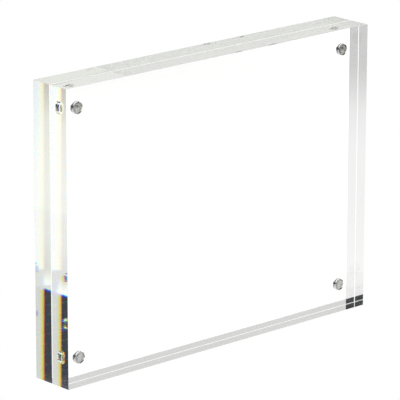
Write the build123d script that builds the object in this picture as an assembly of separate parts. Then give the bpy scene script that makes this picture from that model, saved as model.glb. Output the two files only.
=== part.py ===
import os
from build123d import *

# Clear acrylic block frame: two thick slabs stand face to face on their lower edges and are
# held together by four pairs of small disc magnets near the corners.
# The print goes between the slabs once the front one is pulled off.
# Millimetres. +X runs across the frame, the front faces -Y, and +Z is up. The origin is
# at the middle of the base.

# Slabs
frame_width = 203.2
frame_height = 152.4
# Both are 12 mm cast sheet, of which the rear one came out a little thicker
front_slab_thickness = 12.0
rear_slab_thickness = 12.15
edge_chamfer = 0.1
# Space for a print between the slabs
print_gap = 0.6

# Disc magnets
magnet_diameter = 6.0
magnet_thickness = 1.0
magnet_chamfer = 0.15
# From the slab's side edge, and from its top or bottom edge, to the magnet's centre
magnet_side_margin = 12.3
magnet_end_margin = 12.5
# How far the magnet lies below the slab's inner face
magnet_recess = 0.1

# Clear glue between the magnet and the floor of its pocket, which it wets more widely
glue_magnet_diameter = 3.4
glue_floor_diameter = 3.8
glue_thickness = 0.25

# Milled pocket round each magnet
pocket_side_clearance = 0.1
pocket_lead_in = 0.15
# How far a cutting tool starts outside the face that it cuts
cut_overrun = 1.0

# The two slabs: the side of the print on which each stands along Y, and its thickness
SLABS = {"front": (-1, front_slab_thickness), "rear": (1, rear_slab_thickness)}

magnet_radius = magnet_diameter / 2
pocket_radius = magnet_radius + pocket_side_clearance
magnet_floor_depth = magnet_recess + magnet_thickness
pocket_depth = magnet_floor_depth + glue_thickness
inner_face_y = print_gap / 2

left_x = magnet_side_margin - frame_width / 2
low_z = magnet_end_margin
high_z = frame_height - magnet_end_margin
PLACES = {
    "top_left": (left_x, high_z),
    "top_right": (-left_x, high_z),
    "bottom_left": (left_x, low_z),
    "bottom_right": (-left_x, low_z),
}


def pocket_plane(side, x, z):
    """Plane at a pocket's mouth, on the slab's inner face, with its normal into the slab."""
    return Plane(origin=(x, side * inner_face_y, z), x_dir=(1, 0, 0), z_dir=(0, side, 0))


def turned(*outline):
    """Solid turned round the Z axis from (radius, depth) points that start and end on it."""
    profile = Polyline(*[(radius, 0, depth) for radius, depth in outline], close=True)
    return revolve(make_face(profile), Axis.Z)


def pocket_tool():
    """Space that the cutter clears: a flat-floored bore with a small lead-in at its mouth."""
    return turned(
        (0, -cut_overrun),
        (pocket_radius + pocket_lead_in + cut_overrun, -cut_overrun),
        (pocket_radius, pocket_lead_in),
        (pocket_radius, pocket_depth),
        (0, pocket_depth),
    )


def slab(side, thickness):
    """Clear cast slab with polished, chamfered edges and four blind pockets in its inner face."""
    middle_y = side * (inner_face_y + thickness / 2)
    blank = Pos(0, middle_y, frame_height / 2) * Box(frame_width, thickness, frame_height)
    body = chamfer(blank.edges(), edge_chamfer)
    for x, z in PLACES.values():
        body -= pocket_plane(side, x, z) * pocket_tool()
    return body


def magnet():
    """Nickel-plated disc magnet with its rims broken before plating."""
    return turned(
        (0, magnet_recess),
        (magnet_radius - magnet_chamfer, magnet_recess),
        (magnet_radius, magnet_recess + magnet_chamfer),
        (magnet_radius, magnet_floor_depth - magnet_chamfer),
        (magnet_radius - magnet_chamfer, magnet_floor_depth),
        (0, magnet_floor_depth),
    )


def glue_dot():
    """Drop of clear glue squeezed flat between the magnet and the pocket's floor."""
    return turned(
        (0, magnet_floor_depth),
        (glue_magnet_diameter / 2, magnet_floor_depth),
        (glue_floor_diameter / 2, pocket_depth),
        (0, pocket_depth),
    )


def save(shape, node):
    """Write one sub-part under its node's name."""
    export_step(shape, os.path.join("parts", node + ".step"))


os.makedirs("parts", exist_ok=True)
for slab_name, (side, thickness) in SLABS.items():
    save(slab(side, thickness), slab_name + "_block")
    for place_name, (x, z) in PLACES.items():
        seat = pocket_plane(side, x, z)
        save(seat * magnet(), slab_name + "_magnet_" + place_name)
        save(seat * glue_dot(), slab_name + "_glue_" + place_name)
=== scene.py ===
import math

import bmesh
import bpy
from mathutils import Matrix, Vector


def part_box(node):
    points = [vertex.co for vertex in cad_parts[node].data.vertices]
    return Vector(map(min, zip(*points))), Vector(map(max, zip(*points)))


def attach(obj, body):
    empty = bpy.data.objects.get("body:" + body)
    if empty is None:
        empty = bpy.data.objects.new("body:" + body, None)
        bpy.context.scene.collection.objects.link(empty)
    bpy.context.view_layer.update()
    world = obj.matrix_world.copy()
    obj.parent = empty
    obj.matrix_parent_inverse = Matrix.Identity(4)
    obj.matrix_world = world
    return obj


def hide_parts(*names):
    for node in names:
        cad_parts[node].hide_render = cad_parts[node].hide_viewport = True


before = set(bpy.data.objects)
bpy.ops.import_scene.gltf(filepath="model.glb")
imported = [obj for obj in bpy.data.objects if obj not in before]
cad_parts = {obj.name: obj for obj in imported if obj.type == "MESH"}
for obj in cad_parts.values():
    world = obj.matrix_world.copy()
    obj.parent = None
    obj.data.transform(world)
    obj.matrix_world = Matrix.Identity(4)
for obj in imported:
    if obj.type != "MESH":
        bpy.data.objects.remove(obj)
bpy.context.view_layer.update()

MM = 0.001

# Slabs
# Two slabs of clear cast acrylic sawn from 12 mm sheet, with milled and flame-polished edges.
# Each has four flat-floored pockets milled in its inner face, and they stand face to face
# with room for a print between them.
slab_sides = {"front": -1, "rear": 1}
places = ("top_left", "top_right", "bottom_left", "bottom_right")
# The arrises are barely broken, apart from the scraped one on top of each slab, next to the print
edge_round = 0.02 * MM
scraped_round = 0.25 * MM
edge_segments = 2
pocket_segments = 64
pocket_lead_in = 0.15 * MM
pocket_clearance = 0.1 * MM
# Half the side of the square that a pocket is cut from, as a share of the pocket's radius
cell_share = 1.6
# Shallower angles than this shade as round
facet_angle = math.radians(15)
right_angle = math.radians(90)
angle_tolerance = 0.01
# Points closer than this are one point, and a face is square to an axis above this cosine
same_place = 1e-7
square_to = 0.99
# The slabs' two ends are the only faces square to X that are larger than this
least_end_area = (20 * MM) ** 2
face_slot, end_slot, arris_slot = 0, 1, 2


def linear(hex_colour):
    """Linear RGBA of an sRGB hex colour such as "c0c0c0"."""
    channels = [int(hex_colour[i:i + 2], 16) / 255 for i in (0, 2, 4)]
    return [c / 12.92 if c <= 0.04045 else ((c + 0.055) / 1.055) ** 2.4 for c in channels] + [1.0]


def add_node(tree, kind, settings=None, inputs=None, links=None):
    """A new node with its own settings, its sockets' values, and links into it from other sockets."""
    node = tree.nodes.new(kind)
    for name, value in (settings or {}).items():
        setattr(node, name, value)
    for name, value in (inputs or {}).items():
        node.inputs[name].default_value = value
    for name, socket in (links or {}).items():
        tree.links.new(socket, node.inputs[name])
    return node


def new_material(name):
    """An empty node material and its tree, with only the output left in it."""
    material = bpy.data.materials.new(name)
    material.use_nodes = True
    tree = material.node_tree
    tree.nodes.clear()
    output = add_node(tree, "ShaderNodeOutputMaterial")
    return material, tree, output


def piece_from(bm, name, materials):
    """The finished piece: flat faces stay flat, and only shallow angles shade as round."""
    mesh = bpy.data.meshes.new(name)
    bm.to_mesh(mesh)
    bm.free()
    mesh.shade_smooth()
    mesh.set_sharp_from_angle(angle=facet_angle)
    for material in materials:
        mesh.materials.append(material)
    piece = bpy.data.objects.new(name, mesh)
    bpy.context.scene.collection.objects.link(piece)
    return piece


def piece_box(node):
    """Low and high corner of a piece's box in the frame's part."""
    return tuple(Vector(corner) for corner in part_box(node))


# Cast acrylic is clear, with a green tint that shows only along the sheet, more so in the rear
# slab. Its index is matched to the photograph and is higher than acrylic's own 1.49.
sheet_colour = {"front": "f8fee5", "rear": "e7f3cb"}
sheet_ior = 1.52
polished = {"Base Color": linear("ffffff"), "Roughness": 0.0, "Transmission Weight": 1.0}
# Only the polished ends, through which the eye looks along the whole slab, spread the colours.
# Each band has an index and its linear shares of red, green and blue, which add up to white.
# The spread is matched to the photograph too, and is wider than acrylic's own.
end_ior_step = {"front": 0.002, "rear": 0.0}
colour_bands = (
    (1.5090, (0.30, 0.00, 0.00)), (1.5120, (0.40, 0.10, 0.00)),
    (1.5155, (0.25, 0.25, 0.00)), (1.5195, (0.05, 0.35, 0.05)),
    (1.5250, (0.00, 0.22, 0.14)), (1.5320, (0.00, 0.08, 0.23)),
    (1.5400, (0.00, 0.00, 0.31)), (1.5490, (0.00, 0.00, 0.27)))


def finish_clear(tree, output, surface):
    """Let shadow rays through the clear surface."""
    path = add_node(tree, "ShaderNodeLightPath")
    clear = add_node(tree, "ShaderNodeBsdfTransparent", inputs={"Color": linear("f4f6f4")})
    mix = add_node(tree, "ShaderNodeMixShader", links={
        0: path.outputs["Is Shadow Ray"], 1: surface.outputs[0], 2: clear.outputs[0]})
    tree.links.new(mix.outputs[0], output.inputs["Surface"])


def tint_sheet(tree, output, side_name):
    """Tint what goes through the sheet."""
    tint = add_node(tree, "ShaderNodeVolumeAbsorption", inputs={
        "Color": linear(sheet_colour[side_name]), "Density": 1.0})
    tree.links.new(tint.outputs[0], output.inputs["Volume"])


acrylic, acrylic_ends = {}, {}
for side_name in slab_sides:
    acrylic[side_name], tree, output = new_material("cast_acrylic_" + side_name)
    finish_clear(tree, output, add_node(tree, "ShaderNodeBsdfPrincipled", inputs={
        **polished, "IOR": sheet_ior}))
    tint_sheet(tree, output, side_name)
    acrylic_ends[side_name], tree, output = new_material("cast_acrylic_polished_ends_" + side_name)
    spread = None
    for ior, shares in colour_bands:
        band = add_node(tree, "ShaderNodeBsdfGlass", inputs={
            "Color": (*shares, 1), "Roughness": 0.0, "IOR": ior + end_ior_step[side_name]})
        if spread is None:
            spread = band
        else:
            spread = add_node(tree, "ShaderNodeAddShader", links={
                0: spread.outputs[0], 1: band.outputs[0]})
    inside = add_node(tree, "ShaderNodeBsdfPrincipled", inputs={**polished, "IOR": sheet_ior})
    facing = add_node(tree, "ShaderNodeNewGeometry")
    ends = add_node(tree, "ShaderNodeMixShader", links={
        0: facing.outputs["Backfacing"], 1: spread.outputs[0], 2: inside.outputs[0]})
    finish_clear(tree, output, ends)
    tint_sheet(tree, output, side_name)

# A scraped arris is matt, and catches the light as a thin white line
scraped, tree, output = new_material("scraped_acrylic_arris")
matt = add_node(tree, "ShaderNodeBsdfPrincipled", inputs={
    "Base Color": linear("fafbf8"), "Roughness": 0.55, "IOR": 1.49})
tree.links.new(matt.outputs[0], output.inputs["Surface"])


def break_arrises(bm, edges, offset, slot):
    """Round the edges, and give the new faces a material slot."""
    made = bmesh.ops.bevel(bm, geom=edges, offset=offset, offset_type="OFFSET", segments=edge_segments,
                           profile=0.5, affect="EDGES", material=-1, clamp_overlap=True)
    for face in made["faces"]:
        face.material_index = slot


def inner_faces(bm, inner_y):
    """The flat faces of a slab's inner side."""
    return [f for f in bm.faces
            if abs(f.calc_center_median().y - inner_y) < same_place and abs(f.normal.y) > square_to]


def cut_cell(bm, centre, half, inner_y):
    """Cut a square out of the inner side round a pocket, and return its edges."""
    for axis in (0, 2):
        for sign in (-1, 1):
            at = centre.copy()
            at[axis] += sign * half
            normal = Vector((0, 0, 0))
            normal[axis] = 1
            faces = inner_faces(bm, inner_y)
            geom = faces + list({e for f in faces for e in f.edges})
            geom += list({v for f in faces for v in f.verts})
            bmesh.ops.bisect_plane(bm, geom=geom, dist=same_place, plane_co=at, plane_no=normal)
    middle = Vector((centre.x, inner_y, centre.z))
    cell = min(inner_faces(bm, inner_y), key=lambda f: (f.calc_center_median() - middle).length)
    edges = list(cell.edges)
    bmesh.ops.delete(bm, geom=[cell], context="FACES_ONLY")
    return edges


def mill_pocket(bm, side_name, place, inner_y):
    """A flat-floored bore with a lead-in, round a magnet and as deep as the floor under its glue."""
    side = slab_sides[side_name]
    magnet_low, magnet_high = piece_box(side_name + "_magnet_" + place)
    glue_low, glue_high = piece_box(side_name + "_glue_" + place)
    centre = (magnet_low + magnet_high) / 2
    radius = (magnet_high.x - magnet_low.x) / 2 + pocket_clearance
    mouth_radius = radius + pocket_lead_in
    floor_y = glue_high.y if side > 0 else glue_low.y
    depth = abs(floor_y - inner_y)
    into = Vector((0, side, 0))
    cell_edges = cut_cell(bm, centre, cell_share * radius, inner_y)
    turn = Matrix.Rotation(-right_angle, 4, "X")
    mouth = bmesh.ops.create_circle(
        bm, segments=pocket_segments, radius=mouth_radius,
        matrix=Matrix.Translation((centre.x, inner_y, centre.z)) @ turn)
    ring = list({e for v in mouth["verts"] for e in v.link_edges})
    bmesh.ops.triangle_fill(bm, edges=cell_edges + ring, normal=into, use_beauty=True)
    axis_point = Matrix.Translation((-centre.x, 0, -centre.z))
    for step, shrink in ((pocket_lead_in, radius / mouth_radius), (depth - pocket_lead_in, 1.0)):
        grown = bmesh.ops.extrude_edge_only(bm, edges=ring)["geom"]
        verts = [g for g in grown if isinstance(g, bmesh.types.BMVert)]
        ring = [g for g in grown if isinstance(g, bmesh.types.BMEdge)]
        bmesh.ops.scale(bm, vec=(shrink, 1, shrink), verts=verts, space=axis_point)
        bmesh.ops.translate(bm, vec=into * step, verts=verts)
    bmesh.ops.contextual_create(bm, geom=ring)


for side_name, side in slab_sides.items():
    low, high = piece_box(side_name + "_block")
    inner_y = high.y if side < 0 else low.y
    bm = bmesh.new()
    blank = Matrix.Translation((low + high) / 2) @ Matrix.Diagonal((high - low).to_4d())
    bmesh.ops.create_cube(bm, size=1, matrix=blank)
    top_inner = [e for e in bm.edges if all(
        abs(v.co.y - inner_y) < same_place and abs(v.co.z - high.z) < same_place for v in e.verts)]
    break_arrises(bm, top_inner, scraped_round, arris_slot)
    sharp = [e for e in bm.edges if abs(e.calc_face_angle() - right_angle) < angle_tolerance
             and all(f.material_index == face_slot for f in e.link_faces)]
    break_arrises(bm, sharp, edge_round, face_slot)
    for place in places:
        mill_pocket(bm, side_name, place, inner_y)
    bmesh.ops.recalc_face_normals(bm, faces=bm.faces[:])
    for face in bm.faces:
        if abs(face.normal.x) > square_to and face.calc_area() > least_end_area:
            face.material_index = end_slot
    piece = piece_from(bm, side_name + "_slab", [acrylic[side_name], acrylic_ends[side_name], scraped])
    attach(piece, side_name)
    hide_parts(side_name + "_block")

# Magnets
# Disc magnets of sintered neodymium, 6 mm across and 1 mm thick, barrel finished and plated
# with bright nickel. Each is glued in its pocket and pulls on the one across the print.
rim_round = 0.15 * MM
rim_segments = 4
turn_segments = 96
# A low cone in the middle of each end, and a slight fall outside it, are a guess that gives
# the ends the darker and lighter halves of the photograph
bright_radius = 1.5 * MM
cone_slope = 0.085
cone_shares = (0, 0.06, 0.5, 0.94, 1)
band_slope = 0.02
band_slot, middle_slot = 1, 2
# A face with less of its normal along Y than this belongs to the disc's side, and keeps slot 0
side_facing = 0.1

# Bright nickel mirrors what stands round it. The sides and the ends' outer band are darker copies
# of it, painted shade: the sides are the darkest, and the outer band is a little darker than the
# middle.
nickel = []
for name, colour in (("nickel_plate_sides_painted_shade", "7c7b79"), ("nickel_plate_band_painted_shade", "b2b1ae"),
                     ("bright_nickel_plate", "c4c3bf")):
    material, tree, output = new_material(name)
    metal = add_node(tree, "ShaderNodeBsdfPrincipled", inputs={
        "Base Color": linear(colour), "Metallic": 1.0, "Roughness": 0.08})
    tree.links.new(metal.outputs[0], output.inputs["Surface"])
    nickel.append(material)


def turned_piece(name, node, outline, materials):
    """A piece turned round its own axis from (radius, y) points that start and end on it."""
    low, high = piece_box(node)
    centre = (low + high) / 2
    bm = bmesh.new()
    verts = [bm.verts.new((centre.x + radius, y, centre.z)) for radius, y in outline]
    edges = [bm.edges.new(pair) for pair in zip(verts, verts[1:])]
    bmesh.ops.spin(bm, geom=verts + edges, cent=centre, axis=(0, 1, 0), dvec=(0, 0, 0), angle=math.tau,
                   steps=turn_segments, use_merge=True, use_duplicate=False)
    bmesh.ops.remove_doubles(bm, verts=bm.verts[:], dist=same_place)
    bmesh.ops.recalc_face_normals(bm, faces=bm.faces[:])
    for face in bm.faces:
        middle = face.calc_center_median() - centre
        if len(materials) > 1 and abs(face.normal.y) > side_facing:
            in_middle = math.hypot(middle.x, middle.z) < bright_radius
            face.material_index = middle_slot if in_middle else band_slot
    return piece_from(bm, name, materials)


for side_name in slab_sides:
    for place in places:
        node = side_name + "_magnet_" + place
        low, high = piece_box(node)
        flat = (high.x - low.x) / 2 - rim_round
        half = [(bright_radius * share, cone_slope * bright_radius * share) for share in cone_shares]
        fall = half[-1][1] + band_slope * (flat - bright_radius)
        half += [(flat + rim_round * math.sin(a), fall + rim_round * (1 - math.cos(a)))
                 for a in (right_angle * i / rim_segments for i in range(rim_segments + 1))]
        outline = [(r, low.y + y) for r, y in half] + [(r, high.y - y) for r, y in reversed(half)]
        piece = turned_piece(node + "_disc", node, outline, nickel)
        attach(piece, side_name)
        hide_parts(node)

# Glue
# A drop of clear glue squeezed flat between each magnet and the floor of its pocket. It wets
# the whole cone of the magnet, and bites a little into the pocket floor.
glue_bite = 0.02 * MM
# Its side draws in to this share of its radius at the magnet
glue_neck = 0.85
glue_steps = 4

# Glue that cures clear shows only as a thin ring, where its side bends the light
glue, tree, output = new_material("cured_clear_glue")
finish_clear(tree, output, add_node(tree, "ShaderNodeBsdfPrincipled", inputs={**polished, "IOR": 1.5}))
for side_name, side in slab_sides.items():
    for place in places:
        node = side_name + "_glue_" + place
        low, high = piece_box(node)
        radius = (high.x - low.x) / 2
        wetted = cone_slope * bright_radius + glue_bite
        on_magnet = low.y - wetted if side > 0 else high.y + wetted
        on_floor = high.y + glue_bite if side > 0 else low.y - glue_bite
        outline = [(0, on_magnet)]
        for share in (i / glue_steps for i in range(glue_steps + 1)):
            outline.append((radius * (glue_neck + (1 - glue_neck) * share ** 2),
                            on_magnet + (on_floor - on_magnet) * share))
        outline.append((0, on_floor))
        piece = turned_piece(node + "_drop", node, outline, [glue])
        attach(piece, side_name)
        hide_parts(node)

# Floor
# White studio floor, which the slabs touch with only a film of air between. The camera sees it
# plain white. The slabs and magnets show it with painted light and shade, the light and dark places
# below, which are matched to what the photograph shows in the slabs.
floor_size = 6.0
air_film = 0.2 * MM
# Each pair is a place across, which is X less Y in metres, and its strength, of which 1 is white, as
# painted light and shade
lit_at = (
    (-0.68, 0.69), (-0.634, 0.70), (-0.57, 0.81), (-0.468, 1.01), (-0.337, 1.09), (-0.17, 1.09),
    (-0.05, 1.13), (0.02, 1.15), (0.06, 1.42), (0.12, 1.42), (0.15, 1.05), (0.19, 1.10),
    (0.235, 1.18), (0.31, 1.20), (0.38, 1.22), (0.48, 1.17), (0.60, 1.1), (0.70, 0.8), (0.80, 0.55))
lit_from, lit_to = -0.7, 0.8
# The ramp holds the strengths as shares of this, and the shader multiplies them by it
full_strength = 1.5
# Share of the strength that is left for rays that a slab or a magnet has mirrored
mirrored_share = 0.78
# Painted shade on the floor at the near left, and where it lies along and across
near_left_colour = "818e9b"
near_left_along = (-0.04, 0.06)
near_left_across = (-0.13, -0.10)
# The painted shadow behind the right end, across and then along, which is X plus Y
behind_end_colour = "dddddd"
behind_end_middle = (0.065, 0.11)
behind_end_half = (0.045, 0.04)
# Painted shade on the floor under the frame, by X and Y, and where along X it turns from darker to
# lighter
under_half = (0.1015, 0.0124)
under_left_colour = "dedede"
under_right_colour = "eaeaea"
under_turn = (0.017, 0.027)
# Painted shade for rays that go straight through one slab
through_one_colour = "dddddd"
# A ray enters and leaves one slab in this many steps
one_slab_steps = 2.0
# Counts of steps are whole, so this half width picks out one count
one_count = 0.5
smooth = {"interpolation_type": "SMOOTHSTEP"}
in_colour = {"data_type": "RGBA"}

# Matt white, which gives off plain white to the camera
white_floor, tree, output = new_material("white_studio_floor")
path = add_node(tree, "ShaderNodeLightPath")
place_on = add_node(tree, "ShaderNodeTexCoord")
parts = add_node(tree, "ShaderNodeSeparateXYZ", links={0: place_on.outputs["Object"]})
across = add_node(tree, "ShaderNodeMath", {"operation": "SUBTRACT"}, links={
    0: parts.outputs["X"], 1: parts.outputs["Y"]})
along = add_node(tree, "ShaderNodeMath", {"operation": "ADD"}, links={
    0: parts.outputs["X"], 1: parts.outputs["Y"]})
ramp_place = add_node(tree, "ShaderNodeMapRange", inputs={"From Min": lit_from, "From Max": lit_to},
                      links={"Value": across.outputs[0]})
ramp = add_node(tree, "ShaderNodeValToRGB", links={"Fac": ramp_place.outputs[0]})
elements = ramp.color_ramp.elements
elements.remove(elements[1])
for i, (at, strength) in enumerate(lit_at):
    position = (at - lit_from) / (lit_to - lit_from)
    element = elements[0] if i == 0 else elements.new(position)
    element.position = position
    element.color = (*[strength / full_strength] * 3, 1)

# Steps that were reflections, and whether there were none
mirrored = add_node(tree, "ShaderNodeMath", {"operation": "SUBTRACT"}, links={
    0: path.outputs["Ray Depth"], 1: path.outputs["Transmission Depth"]})
unmirrored = add_node(tree, "ShaderNodeMath", {"operation": "COMPARE"}, {1: 0.0, 2: one_count},
                      {0: mirrored.outputs[0]})

# The near left is painted shade, dark only as the slabs mirror it, not as they are looked through
far = add_node(tree, "ShaderNodeMapRange", smooth,
               {"From Min": near_left_along[0], "From Max": near_left_along[1]},
               {"Value": along.outputs[0]})
mid = add_node(tree, "ShaderNodeMapRange", smooth,
               {"From Min": near_left_across[0], "From Max": near_left_across[1]},
               {"Value": across.outputs[0]})
open_floor = add_node(tree, "ShaderNodeMath", {"operation": "MAXIMUM"}, links={
    0: far.outputs[0], 1: mid.outputs[0]})
white_part = add_node(tree, "ShaderNodeMath", {"operation": "MAXIMUM"}, links={
    0: open_floor.outputs[0], 1: unmirrored.outputs[0]})
near_left = add_node(tree, "ShaderNodeMix", in_colour, {6: linear(near_left_colour)},
                     {"Factor": white_part.outputs[0], 7: ramp.outputs[0]})

# A painted shadow of the frame's right end: a darker patch just behind it, which the foot of the right
# band shows
end_across = add_node(tree, "ShaderNodeMath", {"operation": "COMPARE"},
                      {1: behind_end_middle[0], 2: behind_end_half[0]}, {0: across.outputs[0]})
end_along = add_node(tree, "ShaderNodeMath", {"operation": "COMPARE"},
                     {1: behind_end_middle[1], 2: behind_end_half[1]}, {0: along.outputs[0]})
behind_end = add_node(tree, "ShaderNodeMath", {"operation": "MULTIPLY"}, links={
    0: end_across.outputs[0], 1: end_along.outputs[0]})
with_patch = add_node(tree, "ShaderNodeMix", in_colour, {7: linear(behind_end_colour)},
                      {"Factor": behind_end.outputs[0], 6: near_left.outputs[2]})

# Painted shade on the floor under the frame, which the top face shows, darker towards the left
in_x = add_node(tree, "ShaderNodeMath", {"operation": "COMPARE"}, {1: 0.0, 2: under_half[0]},
                {0: parts.outputs["X"]})
in_y = add_node(tree, "ShaderNodeMath", {"operation": "COMPARE"}, {1: 0.0, 2: under_half[1]},
                {0: parts.outputs["Y"]})
under = add_node(tree, "ShaderNodeMath", {"operation": "MULTIPLY"}, links={
    0: in_x.outputs[0], 1: in_y.outputs[0]})
right_part = add_node(tree, "ShaderNodeMapRange", smooth,
                      {"From Min": under_turn[0], "From Max": under_turn[1]},
                      {"Value": parts.outputs["X"]})
under_colour = add_node(tree, "ShaderNodeMix", in_colour,
                        {6: linear(under_left_colour), 7: linear(under_right_colour)},
                        {"Factor": right_part.outputs[0]})
floor_colour = add_node(tree, "ShaderNodeMix", in_colour, links={
    "Factor": under.outputs[0], 6: with_patch.outputs[2], 7: under_colour.outputs[2]})

# Painted shade: straight through one slab, as at the open end of the print's gap, the floor is only
# just white
one_slab = add_node(tree, "ShaderNodeMath", {"operation": "COMPARE"}, {1: one_slab_steps, 2: one_count},
                    {0: path.outputs["Transmission Depth"]})
straight = add_node(tree, "ShaderNodeMath", {"operation": "MULTIPLY"}, links={
    0: one_slab.outputs[0], 1: unmirrored.outputs[0]})
seen_colour = add_node(tree, "ShaderNodeMix", in_colour, {7: linear(through_one_colour)},
                       {"Factor": straight.outputs[0], 6: floor_colour.outputs[2]})
strength_left = add_node(tree, "ShaderNodeMapRange", inputs={
    "From Max": 1.0, "To Min": full_strength, "To Max": full_strength * mirrored_share},
    links={"Value": mirrored.outputs[0]})

matt = add_node(tree, "ShaderNodeBsdfDiffuse", inputs={"Color": linear("f0f0f0")})
backlit = add_node(tree, "ShaderNodeEmission", inputs={"Color": linear("ffffff"), "Strength": 1.0})
seen_through = add_node(tree, "ShaderNodeEmission", links={
    "Color": seen_colour.outputs[2], "Strength": strength_left.outputs[0]})
bent = add_node(tree, "ShaderNodeMath", {"operation": "MAXIMUM"}, links={
    0: path.outputs["Is Glossy Ray"], 1: path.outputs["Is Transmission Ray"]})
plain = add_node(tree, "ShaderNodeMixShader", links={
    0: path.outputs["Is Camera Ray"], 1: matt.outputs[0], 2: backlit.outputs[0]})
surface = add_node(tree, "ShaderNodeMixShader", links={
    0: bent.outputs[0], 1: plain.outputs[0], 2: seen_through.outputs[0]})
tree.links.new(surface.outputs[0], output.inputs["Surface"])

bm = bmesh.new()
bmesh.ops.create_grid(bm, x_segments=1, y_segments=1, size=floor_size / 2,
                      matrix=Matrix.Translation((0, 0, -air_film)))
floor = piece_from(bm, "floor", [white_floor])

# World
# A studio with a light wall behind the frame and a dimmer light straight out to the left. Between
# them and in front it is dark, and overhead it is white. Only the slabs and magnets show it, and
# the camera and matt surfaces see plain white.
wall_colour = "e2e2e1"
dark_left_colour = "0d1216"
dark_right_colour = "35383f"
# All of these are parts of a ray's direction: X less Y either way at the wall's ends, Y where the
# wall begins, Z where the white overhead does, and X less Y where the dark turns lighter
wall_ends = (1.1, 1.3)
wall_start = (0.0, 0.3)
overhead_start = (0.4, 0.55)
dark_turn = (0.0, 0.3)

world = bpy.data.worlds.new("studio")
bpy.context.scene.world = world
world.use_nodes = True
tree = world.node_tree
tree.nodes.clear()
output = add_node(tree, "ShaderNodeOutputWorld")
path = add_node(tree, "ShaderNodeLightPath")
way = add_node(tree, "ShaderNodeTexCoord")
parts = add_node(tree, "ShaderNodeSeparateXYZ", links={0: way.outputs["Generated"]})
rightwards = add_node(tree, "ShaderNodeMath", {"operation": "SUBTRACT"}, links={
    0: parts.outputs["X"], 1: parts.outputs["Y"]})
sideways = add_node(tree, "ShaderNodeMath", {"operation": "ABSOLUTE"}, links={0: rightwards.outputs[0]})
between_ends = add_node(tree, "ShaderNodeMapRange", smooth, {
    "From Min": wall_ends[0], "From Max": wall_ends[1], "To Min": 1.0, "To Max": 0.0},
    {"Value": sideways.outputs[0]})
behind = add_node(tree, "ShaderNodeMapRange", smooth,
                  {"From Min": wall_start[0], "From Max": wall_start[1]}, {"Value": parts.outputs["Y"]})
wall = add_node(tree, "ShaderNodeMath", {"operation": "MULTIPLY"}, links={
    0: between_ends.outputs[0], 1: behind.outputs[0]})
overhead = add_node(tree, "ShaderNodeMapRange", smooth,
                    {"From Min": overhead_start[0], "From Max": overhead_start[1]},
                    {"Value": parts.outputs["Z"]})
to_right = add_node(tree, "ShaderNodeMapRange",
                    inputs={"From Min": dark_turn[0], "From Max": dark_turn[1]},
                    links={"Value": rightwards.outputs[0]})
dark = add_node(tree, "ShaderNodeMix", in_colour,
                {6: linear(dark_left_colour), 7: linear(dark_right_colour)},
                {"Factor": to_right.outputs[0]})
room = add_node(tree, "ShaderNodeMix", in_colour, {7: linear(wall_colour)},
                {"Factor": wall.outputs[0], 6: dark.outputs[2]})
seen = add_node(tree, "ShaderNodeMix", in_colour, {7: linear("ffffff")},
                {"Factor": overhead.outputs[0], 6: room.outputs[2]})
plain = add_node(tree, "ShaderNodeBackground", inputs={"Color": linear("ffffff"), "Strength": 1.0})
studio = add_node(tree, "ShaderNodeBackground", inputs={"Strength": 1.0}, links={
    "Color": seen.outputs[2]})
bent = add_node(tree, "ShaderNodeMath", {"operation": "MAXIMUM"}, links={
    0: path.outputs["Is Transmission Ray"], 1: path.outputs["Is Glossy Ray"]})
background = add_node(tree, "ShaderNodeMixShader", links={
    0: bent.outputs[0], 1: plain.outputs[0], 2: studio.outputs[0]})
tree.links.new(background.outputs[0], output.inputs["Surface"])

# Light
# The floor and the world give all the light, so there are no lamps. Light goes to and fro about
# ten times between a slab's faces on its way along it, and the limits leave room for that.
most_bounces = 64
cycles = bpy.context.scene.cycles
cycles.max_bounces = most_bounces
cycles.glossy_bounces = most_bounces
cycles.transmission_bounces = most_bounces
cycles.transparent_max_bounces = most_bounces
cycles.caustics_reflective = True
cycles.caustics_refractive = True
cycles.blur_glossy = 0.0

# Camera
# The photograph's viewpoint, from the front left and a little above, worked out from the edges
# of the slabs in it. The place is in millimetres, and the focal length in the photograph's pixels.
camera_place = Vector((-1110.2, -1224.8, 558.7)) * MM
yaw, pitch, roll = (math.radians(angle) for angle in (42.093, -16.316, 0.149))
focal_px, frame_px = 3398.8, 400
sensor_width = 36

camera_data = bpy.data.cameras.new("camera")
camera = bpy.data.objects.new("camera", camera_data)
bpy.context.scene.collection.objects.link(camera)
bpy.context.scene.camera = camera
camera_data.sensor_width = sensor_width
camera_data.lens = sensor_width * focal_px / frame_px
camera_data.clip_start = 0.05
camera_data.clip_end = 50
level = Matrix.Rotation(-yaw, 4, "Z") @ Matrix.Rotation(right_angle + pitch, 4, "X")
aim = level @ Matrix.Rotation(roll, 4, "Z")
camera.matrix_world = Matrix.Translation(camera_place) @ aim

bpy.context.scene.view_settings.view_transform = "Standard"
